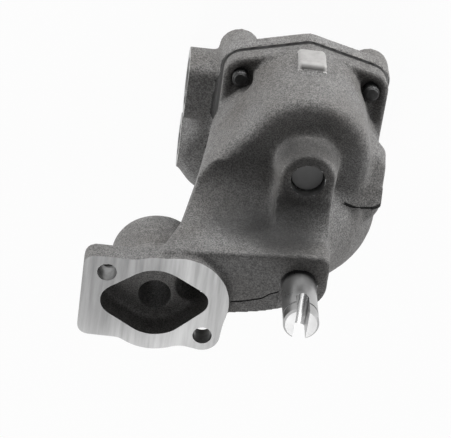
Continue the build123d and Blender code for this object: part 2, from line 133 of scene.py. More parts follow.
def rod(start, end, radius, sides=roundSides):      # cylinder between two points, in millimetres
    start = Vector(start) * mm
    end = Vector(end) * mm
    run = end - start
    turn = run.to_track_quat("Z", "Y").to_euler()
    deselectAll()
    bpy.ops.mesh.primitive_cylinder_add(vertices=sides, radius=radius * mm, depth=run.length,
                                        location=(start + end) / 2, rotation=turn)
    piece = bpy.context.object
    settle(piece)
    return piece


def bar(axis, place, low, high, radius, sides=roundSides):     # cylinder along an axis, through a place
    start, end = list(place), list(place)
    start[axis], end[axis] = low, high
    return rod(start, end, radius, sides)


def slab(low, high):                                # box between two corners, in millimetres
    low = Vector(low) * mm
    high = Vector(high) * mm
    deselectAll()
    bpy.ops.mesh.primitive_cube_add(size=1, location=(low + high) / 2)
    piece = bpy.context.object
    piece.scale = high - low
    settle(piece)
    return piece


def wideSlab(low, high):                            # box between two levels, wider than the pump
    return slab((*wideLow, low), (*wideHigh, high))


def prism(points, low, high, name):                 # upright block over a flat outline, in millimetres
    mesh = bpy.data.meshes.new(name)
    mesh.from_pydata([(x * mm, y * mm, low * mm) for x, y in points], [], [list(range(len(points)))])
    piece = placed(name, mesh)
    editAll(piece)
    bpy.ops.mesh.extrude_region_move(TRANSFORM_OT_translate={"value": (0, 0, (high - low) * mm)})
    closeEdit()
    return piece


def lumpOf(corners, name):                          # closed lump inside the taut skin round its corners
    mesh = bpy.data.meshes.new(name)
    mesh.from_pydata([Vector(corner) * mm for corner in corners], [], [])
    piece = placed(name, mesh)
    editAll(piece)
    bpy.ops.mesh.convex_hull()
    closeEdit()
    return piece


def joinInto(piece, others):
    deselectAll()
    for other in others:
        other.select_set(True)
    piece.select_set(True)
    bpy.context.view_layer.objects.active = piece
    bpy.ops.object.join()
    return piece


def pushFaces(piece, axis, level, run):             # grows the faces that lie on a plane, along the axis
    slack = 0.004
    editSome(piece, "FACE", lambda face: all(abs(v.co[axis] - level * mm) < slack * mm for v in face.verts))
    move = [0, 0, 0]
    move[axis] = run * mm
    bpy.ops.mesh.extrude_region_move(TRANSFORM_OT_translate={"value": move})
    bpy.ops.object.mode_set(mode="OBJECT")


def vectorsOf(parts, name):                         # one row of three for each vertex or face
    found = np.empty(len(parts) * 3)
    parts.foreach_get(name, found)
    return found.reshape(-1, 3)


def coordsOf(piece):
    return vectorsOf(piece.data.vertices, "co")


def setCoords(piece, coords):
    piece.data.vertices.foreach_set("co", coords.ravel())
    piece.data.update()


def softenCasting(piece, sizes):                    # inside corners fill, outside corners round a little
    applyModifier(piece, "REMESH", "grid", mode="VOXEL", voxel_size=sizes["voxel"] * mm, adaptivity=0)
    for passes, keepOutside in sizes["rounds"]:
        before = coordsOf(piece)
        normals = vectorsOf(piece.data.vertices, "normal")
        applyModifier(piece, "SMOOTH", "flow", factor=0.5, iterations=passes)
        moved = coordsOf(piece) - before
        outward = np.einsum("ij,ij->i", moved, normals)
        share = np.where(outward > 0, 1.0, keepOutside)
        setCoords(piece, before + moved * share[:, None])
    applyModifier(piece, "SMOOTH", "settle", factor=0.5, iterations=2)


def roughen(piece, height, width):                  # slow waves of a sand mould, in millimetres
    texture = bpy.data.textures.new("moulding sand", "CLOUDS")
    texture.noise_scale = width * mm
    texture.noise_depth = 2
    applyModifier(piece, "DISPLACE", "waves", texture=texture, strength=height * mm, mid_level=0.5)


def machine(piece, cutters):                        # crisp cuts through the soft casting
    cutter = joinInto(cutters[0], cutters[1:])
    applyModifier(piece, "BOOLEAN", "cut", operation="DIFFERENCE", object=cutter, solver="MANIFOLD")
    bpy.data.objects.remove(cutter)


def creaseAlong(piece, points, radius, sides=12):   # cuts a fine round groove along a run of points
    for first, second in zip(points, points[1:]):
        machine(piece, [rod(first, second, radius, sides)])


def addTo(piece, lump):                             # joins a closed lump to the casting
    applyModifier(piece, "BOOLEAN", "join", operation="UNION", object=lump, solver="MANIFOLD")
    bpy.data.objects.remove(lump)


def mountOf(name):                                  # place in millimetres and radius of a mount in the record
    for mount in frame["record"]["mounts"]:
        if mount["name"] == name:
            return [value * 1000 for value in mount["pos_m"]], mount["dims"].get("r_mm")


# Materials. A ramp's ends are written as where they lie, how light they are and, if given, how warm

def startMaterial(name):
    material = bpy.data.materials.new(name)
    material.use_nodes = True
    tree = material.node_tree
    shader = tree.nodes["Principled BSDF"]
    place = tree.nodes.new("ShaderNodeTexCoord")
    return material, tree, shader, place.outputs["Object"]


def noise(tree, place, scale, detail=4.0, roughness=0.6):      # scale is in grains to a metre
    node = tree.nodes.new("ShaderNodeTexNoise")
    node.inputs["Scale"].default_value = scale
    node.inputs["Detail"].default_value = detail
    node.inputs["Roughness"].default_value = roughness
    tree.links.new(place, node.inputs["Vector"])
    return node.outputs["Fac"]


def stretched(tree, place, scale, lean=0):          # pattern drawn out, then turned by degrees about Z
    node = tree.nodes.new("ShaderNodeMapping")
    node.inputs["Rotation"].default_value = (0, 0, math.radians(lean))
    node.inputs["Scale"].default_value = scale
    tree.links.new(place, node.inputs["Vector"])
    return node.outputs["Vector"]


def grey(level, warm=0.0):
    return (level * (1 + warm), level, level * (1 - warm))


def ramp(tree, value, low, high):
    node = tree.nodes.new("ShaderNodeValToRGB")
    for element, (at, *tone) in zip(node.color_ramp.elements, (low, high)):
        element.position = at
        element.color = (*grey(*tone), 1)
    tree.links.new(value, node.inputs["Fac"])
    return node.outputs["Color"]


def bumpOf(tree, height, strength, distance, under=None):      # under is a coarser bump that carries this one
    node = tree.nodes.new("ShaderNodeBump")
    node.inputs["Strength"].default_value = strength
    node.inputs["Distance"].default_value = distance
    tree.links.new(height, node.inputs["Height"])
    if under is not None:
        tree.links.new(under, node.inputs["Normal"])
    return node.outputs["Normal"]


def multiplied(tree, share, first, second):         # a mix has its colours at inputs 6 and 7, output 2
    node = tree.nodes.new("ShaderNodeMix")
    node.data_type = "RGBA"
    node.blend_type = "MULTIPLY"
    node.inputs["Factor"].default_value = share
    tree.links.new(first, node.inputs[6])
    tree.links.new(second, node.inputs[7])
    return node.outputs[2]


def fadedIn(tree, colour, value, low, high, left, fade):       # tone left at low, full tone at high
    share = tree.nodes.new("ShaderNodeMapRange")
    share.interpolation_type = fade
    share.inputs["From Min"].default_value = low * mm
    share.inputs["From Max"].default_value = high * mm
    tree.links.new(value, share.inputs["Value"])
    patch = ramp(tree, share.outputs["Result"], (0, left), (1, 1.0))
    return multiplied(tree, 1.0, colour, patch)


def paintedShadeSpots(tree, place, colour, spots):            # painted shade patches: middle, reach and the tone left
    darkShare = 0.25                                # how much of the reach is dark all through
    for middle, reach, left in spots:
        apart = tree.nodes.new("ShaderNodeVectorMath")
        apart.operation = "DISTANCE"
        apart.inputs[1].default_value = [value * mm for value in middle]
        tree.links.new(place, apart.inputs[0])
        away = apart.outputs["Value"]
        colour = fadedIn(tree, colour, away, reach * darkShare, reach, left, "SMOOTHERSTEP")
    return colour


def sandCastIron(name, tone, spots=()):
    material, tree, shader, place = startMaterial(name)
    shader.inputs["Metallic"].default_value = 0.0
    shader.inputs["Specular IOR Level"].default_value = 0.35
    cloud = ramp(tree, noise(tree, place, 38, 5), (0.3, tone * 0.74, 0.05), (0.7, tone * 1.18, 0.01))
    blotch = ramp(tree, noise(tree, place, 520, 3, 0.6), (0.36, 0.66), (0.64, 1.0))
    speck = ramp(tree, noise(tree, place, 1900, 2, 0.7), (0.40, 0.22), (0.60, 1.0))
    worn = multiplied(tree, 0.8, cloud, blotch)
    grained = multiplied(tree, 0.85, worn, speck)
    tree.links.new(paintedShadeSpots(tree, place, grained, spots), shader.inputs["Base Color"])
    rough = ramp(tree, noise(tree, place, 900, 3), (0.3, 0.50), (0.7, 0.72))
    tree.links.new(rough, shader.inputs["Roughness"])
    wave = bumpOf(tree, noise(tree, place, 260, 4, 0.6), 0.6, 0.4 * mm)
    grain = bumpOf(tree, noise(tree, place, 1100, 4, 0.65), 0.9, 0.28 * mm, wave)
    tree.links.new(grain, shader.inputs["Normal"])
    return material


def smoothIron(name, tone):                         # pressed smooth by the mould, so only faintly mottled
    material, tree, shader, place = startMaterial(name)
    shader.inputs["Metallic"].default_value = 0.1
    mottle = ramp(tree, noise(tree, place, 300, 4), (0.3, tone * 0.85, 0.02), (0.7, tone * 1.1, 0.02))
    tree.links.new(mottle, shader.inputs["Base Color"])
    rough = ramp(tree, noise(tree, place, 500, 3), (0.3, 0.42), (0.7, 0.6))
    tree.links.new(rough, shader.inputs["Roughness"])
    tree.links.new(bumpOf(tree, noise(tree, place, 900, 3), 0.3, 0.08 * mm), shader.inputs["Normal"])
    return material


def machinedIron(name, tone, lean, spots=()):       # cutter marks lean by degrees
    material, tree, shader, place = startMaterial(name)
    shader.inputs["Metallic"].default_value = 0.75
    along = stretched(tree, place, (1, 0.08, 1), lean)
    streak = noise(tree, along, 420, 3, 0.6)
    band = noise(tree, along, 90, 2, 0.5)
    fine = ramp(tree, streak, (0.32, tone * 0.66), (0.68, tone * 1.2))
    wide = ramp(tree, band, (0.35, 0.68), (0.65, 1.0))
    turned = multiplied(tree, 0.7, fine, wide)
    tree.links.new(paintedShadeSpots(tree, place, turned, spots), shader.inputs["Base Color"])
    tree.links.new(ramp(tree, streak, (0.2, 0.26), (0.8, 0.45)), shader.inputs["Roughness"])
    tree.links.new(bumpOf(tree, streak, 0.35, 0.03 * mm), shader.inputs["Normal"])
    return material


def groundSteel(name, tone, rough, smear=0.12, baseShade=None, baseShadeTone=0.1):   # painted shade at the base fades out between the two levels given
    material, tree, shader, place = startMaterial(name)
    shader.inputs["Metallic"].default_value = 1.0
    ringLines = noise(tree, stretched(tree, place, (0.1, 0.1, 1)), 2600, 2, 0.5)
    steel = ramp(tree, ringLines, (0.3, tone * 0.9), (0.7, tone))
    if baseShade:
        level = tree.nodes.new("ShaderNodeSeparateXYZ")
        tree.links.new(place, level.inputs["Vector"])
        steel = fadedIn(tree, steel, level.outputs["Z"], *baseShade, baseShadeTone, "LINEAR")
    tree.links.new(steel, shader.inputs["Base Color"])
    patchy = ramp(tree, noise(tree, place, 120, 3), (0.3, rough), (0.7, rough + smear))
    tree.links.new(patchy, shader.inputs["Roughness"])
    tree.links.new(bumpOf(tree, ringLines, 0.25, 0.01 * mm), shader.inputs["Normal"])
    return material


def blackOxide(name):
    material, tree, shader, place = startMaterial(name)
    shader.inputs["Metallic"].default_value = 0.6
    tone = ramp(tree, noise(tree, place, 700, 3), (0.3, 0.012), (0.7, 0.035))
    tree.links.new(tone, shader.inputs["Base Color"])
    rough = ramp(tree, noise(tree, place, 400, 3), (0.3, 0.3), (0.7, 0.5))
    tree.links.new(rough, shader.inputs["Roughness"])
    tree.links.new(bumpOf(tree, noise(tree, place, 1800, 3), 0.3, 0.03 * mm), shader.inputs["Normal"])
    return material


# painted shade: darker patches on the valley, the arm's slope and the boss top, where they lie in shade
bodyPaintedShade = [((-8, 12.5, -19), 24, 0.34), ((-22, 11, -25), 20, 0.45), ((-2, 39, -31), 14, 0.4),
           ((-5, 12, -12), 15, 0.55), ((8, 37, -36), 9, 0.55), ((-9, 37, -36), 8, 0.6)]
# painted shade: the milled foot face is darker towards its left
footPaintedShade = [((-66, -8, 0), 34, 0.6)]
castBody = sandCastIron("sandCastBody", tone=0.21, spots=bodyPaintedShade)
castCover = sandCastIron("sandCastCover", tone=0.245)
castPad = smoothIron("smoothPad", tone=0.30)
# painted shade: near-black iron put in the joint's gap and the creases, where shade falls
paintedCreaseShade = sandCastIron("paintedCreaseShade", tone=0.03)
milledFace = machinedIron("milledFace", tone=0.31, lean=78, spots=footPaintedShade)
boredIron = machinedIron("boredIron", tone=0.34, lean=0)
# painted shade: the drive shaft darkens towards its base, where it leaves its bore
shaftSteel = groundSteel("shaftSteel", tone=0.42, rough=0.26, baseShade=(-1.9, 1.0))
gearSteel = groundSteel("gearSteel", tone=0.5, rough=0.3)
dullSteel = groundSteel("dullSteel", tone=0.10, rough=0.45)
springSteel = groundSteel("springSteel", tone=0.35, rough=0.3)
boltBlack = blackOxide("boltBlack")
print("materials made")


# CAD pieces that keep their own shape
carried = {
    "drive_shaft": shaftSteel, "idler_shaft": dullSteel, "drive_gear": gearSteel, "idler_gear": gearSteel,
    "relief_valve_piston": shaftSteel, "relief_retaining_pin": springSteel,
}
for nodeName, material in carried.items():
    for slot in frame["nodes"][nodeName].material_slots:
        slot.material = material
print("carried pieces dressed")


# Paint. A piece's own function picks the slot of each face, by its centre in millimetres and by its normal

def paint(piece, materials, choose, sizes):
    piece.data.materials.clear()
    for material in materials:
        piece.data.materials.append(material)
    faces = piece.data.polygons
    slots = choose(vectorsOf(faces, "center") / mm, vectorsOf(faces, "normal"), sizes)
    faces.foreach_set("material_index", slots.astype(np.int32))
    pick(piece)
    bpy.ops.object.shade_smooth_by_angle(angle=math.radians(32))


def onBore(at, axis, place, radius, low, high):     # faces on the wall of a bore
    flat = [i for i in range(3) if i != axis]
    away = np.hypot(at[:, flat[0]] - place[flat[0]], at[:, flat[1]] - place[flat[1]])
    along = (at[:, axis] > low) & (at[:, axis] < high)
    return (abs(away - radius) < wallSlack) & along


def insideBox(at, low, high):                       # which places lie in a box, in millimetres
    return np.all((at > low) & (at < high), axis=1)


def nearestOn(at, first, second):                   # the spot on a straight run that is nearest to each place
    run = second - first
    share = np.clip((at - first) @ run / (run @ run), 0, 1)
    return first + share[:, None] * run


def nearLine(at, line, reach):                      # which places lie within reach of a run of points
    found = np.zeros(len(at), dtype=bool)
    for first, second in zip(line, line[1:]):
        found |= np.linalg.norm(at - nearestOn(at, first, second), axis=1) < reach
    return found


def sidesOf(outline):                               # start and end of each side of a closed outline
    return zip(outline, np.roll(outline, -1, axis=0))


def outsideOf(points, at):                          # which places lie outside a taut outline, in millimetres
    outline = np.array(points)
    middle = outline.mean(axis=0)
    outside = np.zeros(len(at), dtype=bool)
    for first, second in sidesOf(outline):
        run = second - first
        side = run[0] * (at[:, 1] - first[1]) - run[1] * (at[:, 0] - first[0])
        inner = run[0] * (middle[1] - first[1]) - run[1] * (middle[0] - first[0])
        outside |= side * inner < 0
    return outside


# Pump body. A plug's first value is how far it reaches into the metal round its hole, its second how far it
# stops inside an open end or passes a closed one. Cut and Paint are the levels of a bore's cutter and finish
bodySizes = {
    "voxel": 0.72,
    "rounds": [(20, 0.3), (8, 0.5)],                # smoothing passes, and the part outside corners take
    "waves": (0.16, 5.0),                           # height and width of the mould's waves
    "grow": 3.0,                                    # how far machined faces stand proud before they are cut
    "partingZ": -90.5, "trimZ": -100.5, "footHigh": (-15, 40),    # trimZ is lower than the grown casting
    "pocketR": 19.13, "pocketTop": -52.28, "gearCentres": 29.633, "pocketPlug": (0.4, 0.5),
    "portX": 27.5, "portHalfY": 10.5, "portTop": -60.5, "portPlug": 0.5,
    "plateBack": -9.0, "dowelPlug": (0.5, 0.3), "dowelCut": (-9.6, 6), "dowelPaint": (-12, 1),
    "cavityFloor": -10.5, "towerSeat": -38.0, "studPlug": (0.5, 0.4), "studCut": (-60, -5),
    "shaftBoreR": 6.75, "shaftRimZ": -2.8, "shaftPlug": 0.5, "shaftCut": (-60, 10), "shaftPaint": (-60, 0),
    "idlerBoreR": 6.36, "idlerRimZ": -26.6, "idlerPlug": (0.5, 0.4), "idlerCut": (-60, -10),
    "idlerPaint": (-60, -20),
    "boltX": 25.5, "boltYs": (-11.0, 40.633), "tapTop": -85.4, "tapR": 3.19, "tapPlug": (0.3, 0.5),
    "rimRounds": [(-24.1, -11.3, 9), (24.1, -11.3, 9), (-24.1, 40.933, 9), (24.1, 40.933, 9),
                  (0, -19.5, 7), (0, 49.133, 7)],
    "beadInset": 2.6, "beadR": 2.3, "beadZ": -84.4,            # the flange's raised rim
    "grooveDepth": 1.5, "grooveHeight": 1.3,
    "pocketClear": 22,                              # the painted shade in the joint stays this far from the middle
    "drawIn": 1.3, "drawLevels": (-86.0, -80.0),
    "shoulderLobe": [(12, 14.6, -62), (32, 14, -62), (32, 27, -62), (25, 35, -62), (12, 35, -62),
                     (13, 15.4, -37.4), (21, 13.2, -38.8), (27, 12.9, -39.6), (30.4, 13.8, -41),
                     (31, 27, -49.5), (24, 33, -51), (12, 33, -49)],
    "foldLine": [(16.3, 15.3, -38.5), (19.5, 14.2, -39.1), (21.8, 13.7, -39.5), (24.4, 13.7, -40.0),
                 (27.6, 13.6, -40.8), (31.0, 14.5, -41.9)],
    "foldR": 0.6, "foldShadeR": 0.63,               # cold fold in the shoulder lobe, and the reach of the painted shade along it
    "foldLip": [(19.5, 14.2, -39.0), (23, 13.1, -39.6), (27.6, 12.7, -40.6), (30.6, 13.8, -41.6),
                (19.5, 20, -41.5), (30.6, 20, -44.5), (19.5, 15, -50), (30.6, 15, -50), (30.2, 20, -50)],
    "ledge": [(-27, -6), (-25.5, -15.6), (-19.2, -15.1), (-13.9, -14.0), (-9.3, -12.9), (-4, -11.2),
              (-2, -4)],
    "ledgeTop": -3.2, "ledgeFoot": -9.0, "ledgeTaper": 0.9,
    "stepLine": [(-23.5, -9.5), (-20.0, -8.9), (-16.5, -7.9), (-12.3, -6.5), (-9.7, -4.4), (-6.6, -3.0)],
    "stepZ": -3.6, "stepOutY": -24, "stepOutZ": 2,
    "stepCrease": (0.95, 0.45),                     # how far outside the line it runs, and its radius
    "stepShade": ((-23.6, -12.4, -0.5), (-6.8, -2.6, -0.03)),  # corners of the painted shade at the step, measured up from the step
    "padLow": (-5.4, 46.0, -82.5), "padHigh": (5.4, 56.06, -68.9), "padBevel": 1.7,
    "dipZ": -69.0, "dipHalfWidth": 14.0, "dipHalfHeight": 12.0, "dipDepth": 1.5, "dipFromY": 50,
}
bodySizes["midY"] = bodySizes["gearCentres"] / 2
studPlace, studR = mountOf("mounting_bolt_hole")
dowels = [mountOf("dowel_hole_left"), mountOf("dowel_hole_right")]


def rimPoints(sizes, inset):                        # taut outline round the flange's corner rounds
    spots = []
    for x, y, radius in sizes["rimRounds"]:
        for step in range(roundSides):
            turn = 2 * math.pi * step / roundSides
            reach = radius - inset
            spots.append((x + reach * math.cos(turn), y + reach * math.sin(turn)))
    return [spots[i] for i in geometry.convex_hull_2d(spots)]


def boltPlaces(sizes):                              # the four cover bolts, the -X pair first
    return [(x, y, 0) for x in (-sizes["boltX"], sizes["boltX"]) for y in sizes["boltYs"]]


def drawIn(piece, sizes):                           # pulls the flange's wall in, so the cover stands proud
    outline = np.array(rimPoints(sizes, sizes["drawIn"]))
    coords = coordsOf(piece) / mm
    low, high = sizes["drawLevels"]
    share = np.clip((high - coords[:, 2]) / (high - low), 0, 1)
    picked = np.flatnonzero((share > 0) & outsideOf(outline, coords))
    at = coords[picked, :2]
    nearest = at.copy()
    best = np.full(len(at), np.inf)
    for first, second in sidesOf(outline):
        spot = nearestOn(at, first, second)
        away = np.hypot(*(at - spot).T)
        closer = away < best
        best[closer] = away[closer]
        nearest[closer] = spot[closer]
    coords[picked, :2] = at + (nearest - at) * share[picked, None]
    setCoords(piece, coords * mm)


def dipUnderPad(piece, sizes):                      # shallow dip in the +Y wall, so the pad stands proud
    coords = coordsOf(piece)
    across = np.clip(np.abs(coords[:, 0] / mm) / sizes["dipHalfWidth"], 0, 1)
    along = np.clip(np.abs(coords[:, 2] / mm - sizes["dipZ"]) / sizes["dipHalfHeight"], 0, 1)
    dip = sizes["dipDepth"] * (1 - across ** 2) ** 2 * (1 - along ** 2) ** 2
    coords[:, 1] -= np.where(coords[:, 1] > sizes["dipFromY"] * mm, dip * mm, 0)
    setCoords(piece, coords)


def keepInside(piece):                              # no point of a casting leaves the frame's box
    coords = coordsOf(piece)
    setCoords(piece, np.clip(coords, np.array(cadBox[0]), np.array(cadBox[1])))


def rimBead(sizes):                                 # raised rounded rim of the flange
    points = rimPoints(sizes, sizes["beadInset"])
    line = bpy.data.curves.new("rim", "CURVE")
    line.dimensions = "3D"
    run = line.splines.new("POLY")
    run.points.add(len(points) - 1)
    for point, (x, y) in zip(run.points, points):
        point.co = (x * mm, y * mm, sizes["beadZ"] * mm, 1)
    run.use_cyclic_u = True
    line.bevel_depth = sizes["beadR"] * mm
    line.bevel_resolution = 4
    pick(placed("rim", line))
    bpy.ops.object.convert(target="MESH")
    return bpy.context.object


def makePad(sizes):                                 # plain raised pad on the +Y wall
    pad = slab(sizes["padLow"], sizes["padHigh"])
    applyModifier(pad, "BEVEL", "edges", width=sizes["padBevel"] * mm, segments=4, limit_method="ANGLE")
    return pad


def armLedge(sizes):                                # wavy ledge on the arm's lower edge, narrower at its foot
    corners = [(x, y, sizes["ledgeTop"]) for x, y in sizes["ledge"]]
    corners += [(x, y * sizes["ledgeTaper"], sizes["ledgeFoot"]) for x, y in sizes["ledge"]]
    return lumpOf(corners, "ledge")


def jointGroove(sizes):                             # shallow step round the flange, along the joint
    over, out = 2, 6                                # how far the cutters pass the joint and the flange's edge
    low = sizes["partingZ"] - over
    top = sizes["partingZ"] + sizes["grooveHeight"]
    ring = prism(rimPoints(sizes, -out), low, top, "groove")
    core = prism(rimPoints(sizes, sizes["grooveDepth"]), low - over, top + over, "core")
    machine(ring, [core])
    return ring


def gearPort(sizes, low, lap):                      # inlet and outlet pockets on both sides of the gears
    reachX, reachY = sizes["portX"] + lap, sizes["portHalfY"] + lap
    midY = sizes["midY"]
    return slab((-reachX, midY - reachY, low), (reachX, midY + reachY, sizes["portTop"] + lap))


def bodyPlugs(sizes):                               # fills what is cut again later, and adds the cast lumps
    low = sizes["partingZ"] - sizes["grow"]
    pocketTop = sizes["pocketTop"]
    plugs = []
    lap, gap = sizes["dowelPlug"]
    for place, radius in dowels:
        plugs.append(bar(2, place, sizes["plateBack"] + gap, sizes["grow"], radius + lap))
    lap, gap = sizes["studPlug"]
    plugs.append(bar(2, studPlace, sizes["towerSeat"] + gap, sizes["cavityFloor"] - gap, studR + lap))
    lap, gap = sizes["pocketPlug"]
    for y in (0, sizes["gearCentres"]):
        plugs.append(bar(2, (0, y, 0), low, pocketTop + gap, sizes["pocketR"] + lap))
    plugs.append(gearPort(sizes, low, sizes["portPlug"]))
    plugs.append(bar(2, (0, 0, 0), pocketTop, sizes["shaftRimZ"], sizes["shaftBoreR"] + sizes["shaftPlug"]))
    lap, gap = sizes["idlerPlug"]
    idler = (0, sizes["gearCentres"], 0)
    plugs.append(bar(2, idler, pocketTop, sizes["idlerRimZ"] - gap, sizes["idlerBoreR"] + lap))
    lap, gap = sizes["tapPlug"]
    for place in boltPlaces(sizes):
        plugs.append(bar(2, place, low, sizes["tapTop"] - gap, sizes["tapR"] + lap))
    plugs.append(rimBead(sizes))
    plugs.append(lumpOf(sizes["shoulderLobe"], "shoulder lobe"))
    plugs.append(armLedge(sizes))
    return plugs


def trimBody(piece, sizes):                         # flat faces, then the groove, the fold and the arm's step
    foot = slab((*wideLow, 0), (*sizes["footHigh"], past))
    joint = wideSlab(sizes["trimZ"], sizes["partingZ"])
    studHole = bar(2, studPlace, *sizes["studCut"], studR)
    machine(piece, [foot, joint, studHole])
    machine(piece, [jointGroove(sizes)])
    creaseAlong(piece, sizes["foldLine"], sizes["foldR"])
    step = sizes["stepLine"]
    outside = [(x, sizes["stepOutY"]) for x, y in (step[-1], step[0])]
    machine(piece, [prism(step + outside, sizes["stepZ"], sizes["stepOutZ"], "step")])
    offset, radius = sizes["stepCrease"]
    creaseAlong(piece, [(x, y - offset, sizes["stepZ"]) for x, y in step], radius)


def boreBody(piece, sizes):                         # bores, gear pockets, inlet and outlet
    low = sizes["partingZ"] - sizes["grow"] - 1     # just below the grown face
    centres = sizes["gearCentres"]
    bores = [bar(2, (0, 0, 0), *sizes["shaftCut"], sizes["shaftBoreR"])]
    bores.append(bar(2, (0, centres, 0), *sizes["idlerCut"], sizes["idlerBoreR"]))
    for place, radius in dowels:
        bores.append(bar(2, place, *sizes["dowelCut"], radius))
    machine(piece, bores)
    for y in (0, centres):
        machine(piece, [bar(2, (0, y, 0), low, sizes["pocketTop"], sizes["pocketR"])])
    machine(piece, [gearPort(sizes, low, 0)])


def bodySlots(at, normal, sizes):
    milled, bored, smooth, creaseShade = 1, 2, 3, 4       # slot 0 is the cast skin
    slots = np.zeros(len(at))
    slots[(at[:, 2] > -levelSlack) | (at[:, 2] < sizes["partingZ"] + levelSlack)] = milled
    for place, radius in dowels:
        slots[onBore(at, 2, place, radius, *sizes["dowelPaint"])] = bored
    idler = (0, sizes["gearCentres"])
    slots[onBore(at, 2, idler, sizes["idlerBoreR"], *sizes["idlerPaint"])] = bored
    slots[onBore(at, 2, (0, 0), sizes["shaftBoreR"], *sizes["shaftPaint"])] = bored
    padLow, padHigh = np.array(sizes["padLow"]), np.array(sizes["padHigh"])
    slots[insideBox(at, padLow - wallSlack, padHigh + wallSlack)] = smooth
    # painted shade: the joint's groove faces are painted near black as the gap between body and cover
    top = sizes["partingZ"] + sizes["grooveHeight"]
    inGroove = (at[:, 2] > sizes["partingZ"] + wallSlack) & (at[:, 2] < top + levelSlack)
    inGroove &= (at[:, 2] < top - levelSlack) | (normal[:, 2] < -flatShare)
    inGroove &= np.hypot(at[:, 0], at[:, 1] - sizes["midY"]) > sizes["pocketClear"]
    slots[inGroove] = creaseShade
    # painted shade: the groove at the foot of the arm's step is painted dark as shadow
    low, high = np.array(sizes["stepShade"]) + (0, 0, sizes["stepZ"])
    slots[insideBox(at, low, high)] = creaseShade
    # painted shade along the fold's crease
    slots[nearLine(at, np.array(sizes["foldLine"]), sizes["foldShadeR"])] = creaseShade
    return slots


def makeBody(sizes):
    piece = copyOfNode("pump_body", "bodyCasting")
    pushFaces(piece, 2, 0.0, sizes["grow"])
    pushFaces(piece, 2, sizes["partingZ"], -sizes["grow"])
    joinInto(piece, bodyPlugs(sizes))
    softenCasting(piece, sizes)
    roughen(piece, *sizes["waves"])
    drawIn(piece, sizes)
    dipUnderPad(piece, sizes)
    addTo(piece, makePad(sizes))
    addTo(piece, lumpOf(sizes["foldLip"], "fold lip"))
    trimBody(piece, sizes)
    boreBody(piece, sizes)
    keepInside(piece)
    paint(piece, [castBody, milledFace, boredIron, castPad, paintedCreaseShade], bodySlots, sizes)
    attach(piece, "housing")
    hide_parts("pump_body")
    print("body casting", len(piece.data.polygons), "faces")


# Cover
coverSizes = {
    "voxel": 0.6,
    "rounds": [(26, 0.35), (8, 0.5)],
    "waves": (0.16, 5.0),
    "grow": 3.0,
    "partingZ": bodySizes["partingZ"], "faceX": -44.7,
    "sideLevels": (-140, -60),                      # of the block that cuts the -X face
    "inletDepth": 24.0, "inletPlug": 0.5,
    "reliefZ": -102.5, "reliefR": 6.35, "reliefEnd": 9.0, "reliefPlug": 0.5,
    "chamberR": 4.95, "chamberEnd": 16.0, "chamberPlug": 0.4,
    "pinX": -39.5, "pinR": 1.62, "pinSides": 32, "pinBore": (-40, 10),
    "pinPlug": 0.5, "pinPlugYs": (-15.5, 12),
    "boltX": bodySizes["boltX"], "boltYs": bodySizes["boltYs"], "boltR": 3.5, "boltPlug": (0.4, 0.8),
    "seatZs": (-108.8, -104.5), "seatGrow": 1.0, "seatR": 6.5,    # under the -X bolts, then the +X ones
    "ledgeDepth": 0.7, "ledgeWidth": 1.9, "ledgeRise": 0.3,       # strip beside the joint, painted dark as shadow
}
inletPlace, inletR = mountOf("pickup_inlet")


def boltSeats(sizes):                               # each bolt's place with the level of its seat
    low, high = sizes["seatZs"]
    return zip(boltPlaces(sizes), (low, low, high, high))


def coverPlugs(sizes):                              # fills what is cut again later
    start = sizes["faceX"] - sizes["grow"]
    relief = (0, 0, sizes["reliefZ"])
    lap = sizes["reliefPlug"]
    plugs = [bar(0, inletPlace, start, sizes["faceX"] + sizes["inletDepth"], inletR + sizes["inletPlug"])]
    plugs.append(bar(0, relief, start, sizes["reliefEnd"] + lap, sizes["reliefR"] + lap))
    lap = sizes["chamberPlug"]
    plugs.append(bar(0, relief, 0, sizes["chamberEnd"] + lap, sizes["chamberR"] + lap))
    pin = (sizes["pinX"], 0, sizes["reliefZ"])
    plugs.append(bar(1, pin, *sizes["pinPlugYs"], sizes["pinR"] + sizes["pinPlug"]))
    lap, over = sizes["boltPlug"]
    for place, seatZ in boltSeats(sizes):
        plugs.append(bar(2, place, seatZ - over, sizes["partingZ"] + sizes["grow"], sizes["boltR"] + lap))
    return plugs


def cutCover(piece, sizes):
    start = sizes["faceX"] - sizes["grow"] - 5      # bores start clear of the grown face
    stop = sizes["faceX"] + sizes["inletDepth"]
    low, high = sizes["sideLevels"]
    relief = (0, 0, sizes["reliefZ"])
    machine(piece, [wideSlab(sizes["partingZ"], sizes["partingZ"] + past)])
    machine(piece, [slab((*wideLow, low), (sizes["faceX"], wideHigh[1], high))])
    machine(piece, [bar(2, place, seatZ - past, seatZ, sizes["seatR"]) for place, seatZ in boltSeats(sizes)])
    inlet = bar(0, inletPlace, start, stop, inletR)
    machine(piece, [inlet, bar(0, relief, start, sizes["reliefEnd"], sizes["reliefR"])])
    machine(piece, [bar(0, relief, 0, sizes["chamberEnd"], sizes["chamberR"])])
    pin = (sizes["pinX"], 0, sizes["reliefZ"])
    machine(piece, [bar(1, pin, *sizes["pinBore"], sizes["pinR"], sizes["pinSides"])])


